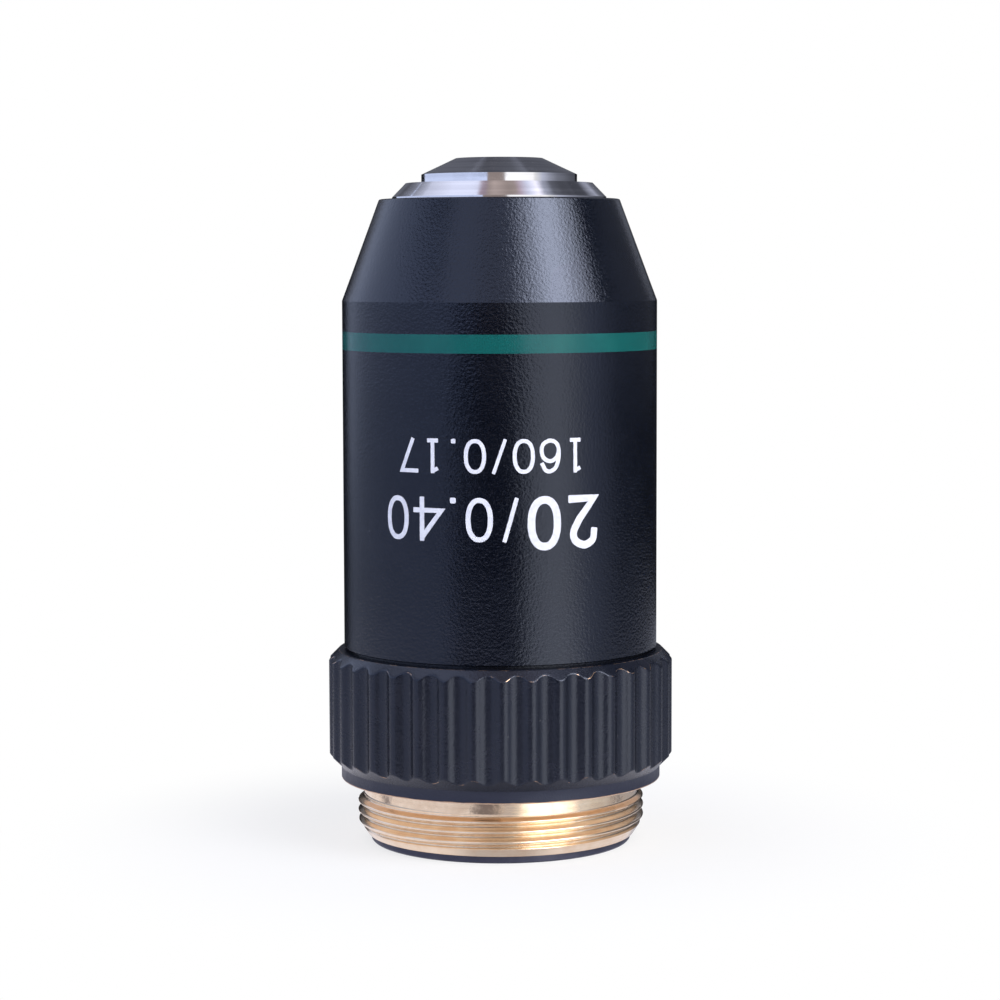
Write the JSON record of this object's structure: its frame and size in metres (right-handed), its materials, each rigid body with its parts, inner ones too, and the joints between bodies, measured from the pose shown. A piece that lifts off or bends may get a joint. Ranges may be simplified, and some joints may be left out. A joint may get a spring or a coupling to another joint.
{
  "type": "microscope objective",
  "caption": "Microscope objective with a fine mounting thread, a fluted grip, a black barrel and a sprung lens tube",
  "frame": {"origin": "centre of the rear face, on which the objective can stand", "axes": "+Z along the optical axis towards the specimen, -Y towards the side with the numerals"},
  "size_m": [0.0242, 0.0242, 0.0481],
  "materials": {
    "brass": "turned, bare",
    "black_paint": "fine-textured satin black paint",
    "blackened_brass": "blackened, matt",
    "green_enamel": "gloss enamel",
    "bright_plate": "polished plating",
    "steel": "bright drawn steel",
    "crown_glass": "polished, coated",
    "flint_glass": "polished, coated",
    "white_ink": "matt white fill"
  },
  "bodies": {
    "housing": {"threaded_base": "brass", "rear_baffle": "blackened_brass", "barrel": "black_paint", "colour_band": "green_enamel", "guide_tube": "brass", "guide_screw": "steel", "return_spring": "steel"},
    "nose": {"lens_tube": "bright_plate", "front_cell": "bright_plate", "front_lens": "crown_glass", "front_spacer": "blackened_brass", "middle_cell": "blackened_brass", "middle_flint": "flint_glass", "middle_crown": "crown_glass", "long_spacer": "blackened_brass", "rear_cell": "blackened_brass", "rear_flint": "flint_glass", "rear_crown": "crown_glass", "aperture_stop": "blackened_brass", "retaining_ring": "blackened_brass", "parfocal_collar": "brass", "lock_ring": "brass"}
  },
  "joints": [
    {"name": "nose_slide", "type": "slide", "parent": "housing", "child": "nose", "axis": [0, 0, -1], "range_m": [0, 0.002], "stiffness_N_per_m": 93, "springref_m": -0.0133, "deforming": ["return_spring"]}
  ]
}
